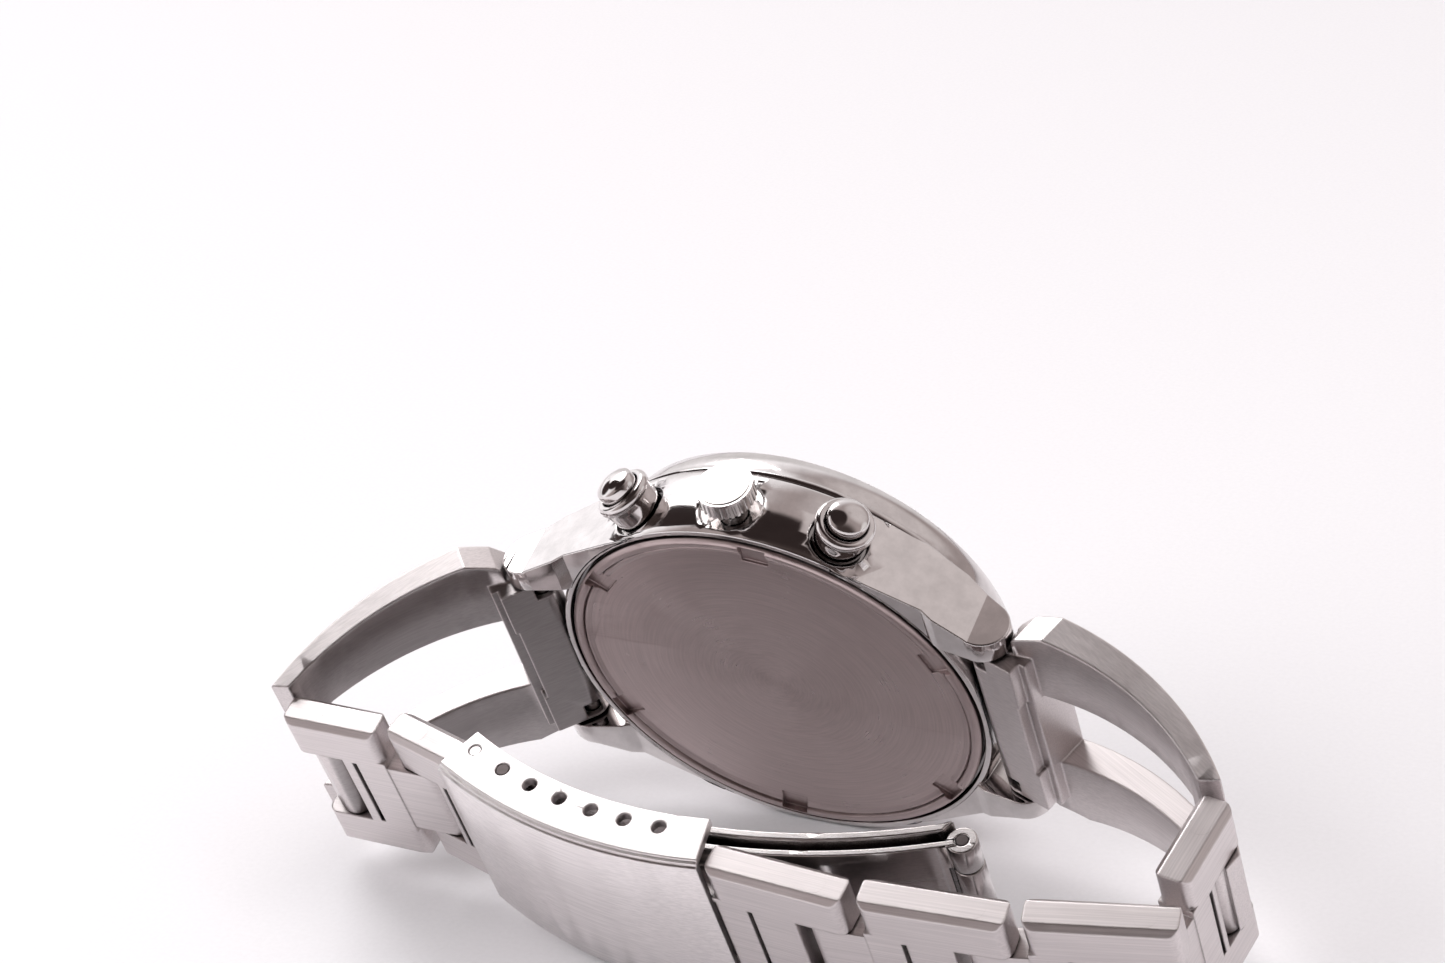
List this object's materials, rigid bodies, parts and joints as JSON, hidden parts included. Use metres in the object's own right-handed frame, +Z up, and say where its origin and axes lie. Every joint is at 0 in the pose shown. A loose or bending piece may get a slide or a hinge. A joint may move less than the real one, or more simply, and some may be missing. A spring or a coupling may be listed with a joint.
{
  "type": "wristwatch",
  "caption": "Round chronograph wristwatch with a link bracelet and folding clasp, lying on its side with the clasp closed: the case back, crown and push-buttons show.",
  "frame": {"origin": "centre of the footprint of the bounding box, on the table", "axes": "+X from 6 o'clock to 12 o'clock, the longest extent; +Y from the clasp to the dial side, level; +Z up from the table. The watch itself leans: its crown axis is 22.0 degrees from +Z, towards -Y"},
  "size_m": [0.0826, 0.0422, 0.0398],
  "materials": {
    "polished_steel": "mirror polished with a warm grey reflection, fine scratches",
    "brushed_steel": "satin brushed along the strap, light wear on the edges",
    "back_steel": "brushed grey with a polished rim, fine scratches",
    "pin_steel": "turned steel",
    "crystal": "clear mineral glass",
    "gasket": "black rubber",
    "dial": "satin lacquer",
    "markers": "polished",
    "date_ring": "matt print, no text",
    "movement": "gilt, matt",
    "holder": "moulded",
    "battery": "plain cell, no print",
    "hands": "polished",
    "small_hands": "black lacquer",
    "red_hand": "red lacquer"
  },
  "bodies": {
    "case": {"case_middle": "polished_steel", "bezel": "polished_steel", "crystal": "crystal", "crystal_gasket": "gasket", "case_back": "back_steel", "back_gasket": "gasket", "rehaut": "polished_steel", "dial": "dial", "hour_markers": "markers", "date_ring": "date_ring", "movement": "movement", "movement_holder": "holder", "battery": "battery", "crown_tube": "pin_steel", "collar_2": "polished_steel", "collar_4": "polished_steel", "spring_bar_12": "pin_steel", "spring_bar_6": "pin_steel"},
    "setting_collar": {"setting_collar": "movement"},
    "crown": {"crown": "polished_steel", "stem": "pin_steel"},
    "pusher_2": {"button_2": "polished_steel", "shaft_2": "pin_steel"},
    "pusher_4": {"button_4": "polished_steel", "shaft_4": "pin_steel"},
    "hour_hand": {"hour_hand": "hands"},
    "minute_hand": {"minute_hand": "hands"},
    "chrono_hand": {"chrono_hand": "red_hand"},
    "small_hand_12": {"small_hand_12": "small_hands"},
    "small_hand_6": {"small_hand_6": "small_hands"},
    "small_hand_9": {"small_hand_9": "small_hands"},
    "end_link_12": {"end_link_12": "brushed_steel"},
    "end_link_6": {"end_link_6": "brushed_steel"},
    "strap_1": {"link_1": "brushed_steel", "pin_1": "pin_steel"},
    "strap_2": {"link_2": "brushed_steel", "pin_2": "pin_steel"},
    "strap_3": {"link_3": "brushed_steel", "pin_3": "pin_steel"},
    "strap_4": {"link_4": "brushed_steel", "pin_4": "pin_steel"},
    "strap_5": {"link_5": "brushed_steel", "pin_6": "pin_steel", "loop_pin": "pin_steel"},
    "strap_6": {"link_6": "brushed_steel"},
    "inner_blade": {"blade_inner": "brushed_steel", "pin_5": "pin_steel", "fold_pin": "pin_steel"},
    "outer_blade": {"blade_outer": "brushed_steel"},
    "cover": {"clasp_cover": "brushed_steel", "hinge_studs": "pin_steel", "adjust_bar": "pin_steel"}
  },
  "joints": [
    {"name": "crown_pull", "type": "slide", "parent": "case", "child": "setting_collar", "axis": [0, -0.375, 0.927], "range_m": [0, 0.001]},
    {"name": "crown_turn", "type": "hinge", "parent": "setting_collar", "child": "crown", "pos_m": [-0.00294, -0.00019, 0.03814], "axis": [0, -0.375, 0.927], "continuous": true},
    {"name": "pusher_2_press", "type": "slide", "parent": "case", "child": "pusher_2", "axis": [-0.4617, 0.3326, -0.8223], "range_m": [0, 0.001], "stiffness_N_per_m": 1000, "springref_m": -0.001},
    {"name": "pusher_4_press", "type": "slide", "parent": "case", "child": "pusher_4", "axis": [0.4617, 0.3326, -0.8223], "range_m": [0, 0.001], "stiffness_N_per_m": 1000, "springref_m": -0.001},
    {"name": "minute_hand_turn", "type": "hinge", "parent": "case", "child": "minute_hand", "pos_m": [-0.00294, 0.01037, 0.01976], "axis": [0, -0.927, -0.375], "continuous": true},
    {"name": "hour_hand_turn", "type": "hinge", "parent": "case", "child": "hour_hand", "pos_m": [-0.00294, 0.01037, 0.01976], "axis": [0, -0.927, -0.375], "continuous": true},
    {"name": "chrono_hand_turn", "type": "hinge", "parent": "case", "child": "chrono_hand", "pos_m": [-0.00294, 0.01037, 0.01976], "axis": [0, -0.927, -0.375], "continuous": true},
    {"name": "small_hand_12_turn", "type": "hinge", "parent": "case", "child": "small_hand_12", "pos_m": [0.00426, 0.01037, 0.01976], "axis": [0, -0.927, -0.375], "continuous": true},
    {"name": "small_hand_6_turn", "type": "hinge", "parent": "case", "child": "small_hand_6", "pos_m": [-0.01014, 0.01037, 0.01976], "axis": [0, -0.927, -0.375], "continuous": true},
    {"name": "small_hand_9_turn", "type": "hinge", "parent": "case", "child": "small_hand_9", "pos_m": [-0.00294, 0.01307, 0.01308], "axis": [0, -0.927, -0.375], "continuous": true},
    {"name": "end_link_12_swing", "type": "hinge", "parent": "case", "child": "end_link_12", "pos_m": [0.01746, 0.00611, 0.01803], "axis": [0, -0.375, 0.927], "range_deg": [0, 21]},
    {"name": "link_1_swing", "type": "hinge", "parent": "end_link_12", "child": "strap_1", "pos_m": [0.03909, -0.00606, 0.01311], "axis": [0, -0.375, 0.927], "range_deg": [0, 79]},
    {"name": "link_2_swing", "type": "hinge", "parent": "strap_1", "child": "strap_2", "pos_m": [0.03753, -0.01427, 0.00979], "axis": [0, -0.375, 0.927], "range_deg": [0, 71]},
    {"name": "link_3_swing", "type": "hinge", "parent": "strap_2", "child": "strap_3", "pos_m": [0.02479, -0.01615, 0.00903], "axis": [0, -0.375, 0.927], "range_deg": [0, 7]},
    {"name": "link_4_swing", "type": "hinge", "parent": "strap_3", "child": "strap_4", "pos_m": [0.0119, -0.01656, 0.00886], "axis": [0, -0.375, 0.927], "range_deg": [0, 6]},
    {"name": "inner_blade_swing", "type": "hinge", "parent": "strap_4", "child": "inner_blade", "pos_m": [-0.00097, -0.01573, 0.0092], "axis": [0, -0.375, 0.927], "range_deg": [0, 35]},
    {"name": "outer_blade_fold", "type": "hinge", "parent": "inner_blade", "child": "outer_blade", "pos_m": [0.02096, -0.00973, 0.01163], "axis": [0, 0.375, -0.927], "range_deg": [0, 10]},
    {"name": "cover_open", "type": "hinge", "parent": "outer_blade", "child": "cover", "pos_m": [-0.02018, -0.01133, 0.01098], "axis": [0, 0.375, -0.927], "range_deg": [0, 100]},
    {"name": "link_6_swing", "type": "hinge", "parent": "cover", "child": "strap_6", "pos_m": [-0.017, -0.01256, 0.01048], "axis": [0, -0.375, 0.927], "range_deg": [-25, 0]},
    {"name": "end_link_6_swing", "type": "hinge", "parent": "case", "child": "end_link_6", "pos_m": [-0.02334, 0.00611, 0.01803], "axis": [0, 0.375, -0.927], "range_deg": [0, 40]},
    {"name": "link_5_swing", "type": "hinge", "parent": "end_link_6", "child": "strap_5", "pos_m": [-0.03663, -0.00992, 0.01155], "axis": [0, 0.375, -0.927], "range_deg": [0, 100]}
  ],
  "couplings": [
    {"joint": "hour_hand_turn", "follows": "minute_hand_turn", "ratio": 0.083333},
    {"joint": "inner_blade_swing", "follows": "cover_open", "ratio": 0.35},
    {"joint": "outer_blade_fold", "follows": "cover_open", "ratio": 0.1}
  ]
}
